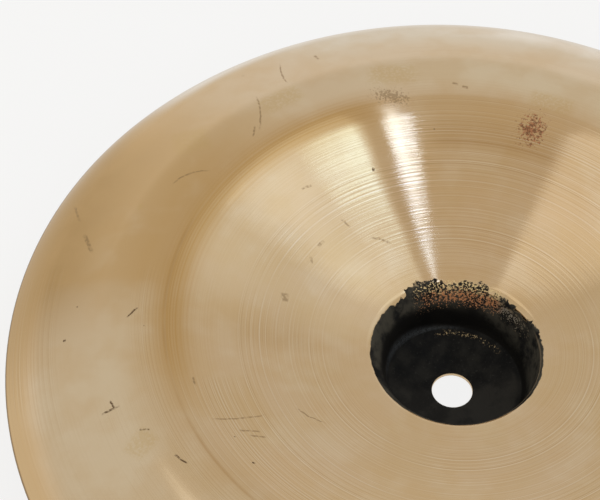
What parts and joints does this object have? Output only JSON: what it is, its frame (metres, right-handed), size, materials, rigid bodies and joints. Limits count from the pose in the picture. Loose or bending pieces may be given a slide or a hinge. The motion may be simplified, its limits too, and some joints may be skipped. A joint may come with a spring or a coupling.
{
  "type": "china cymbal",
  "caption": "Turned-edge bronze cymbal with a steep-sided central cup and a hole to hang it on a stand's rod.",
  "frame": {"origin": "on the axis, at the outside face of the cup's crown, which is the lowest point as modelled", "axes": "+Z along the axis, out of the cup's mouth, so the dish opens upwards; the part is round, so +X and +Y are free"},
  "size_m": [0.457, 0.457, 0.0712],
  "materials": {
    "bronze": "lathed bell bronze with fine turning rings, and black fire scale left in the cup"
  },
  "bodies": {
    "root": {"cymbal": "bronze"}
  },
  "joints": []
}
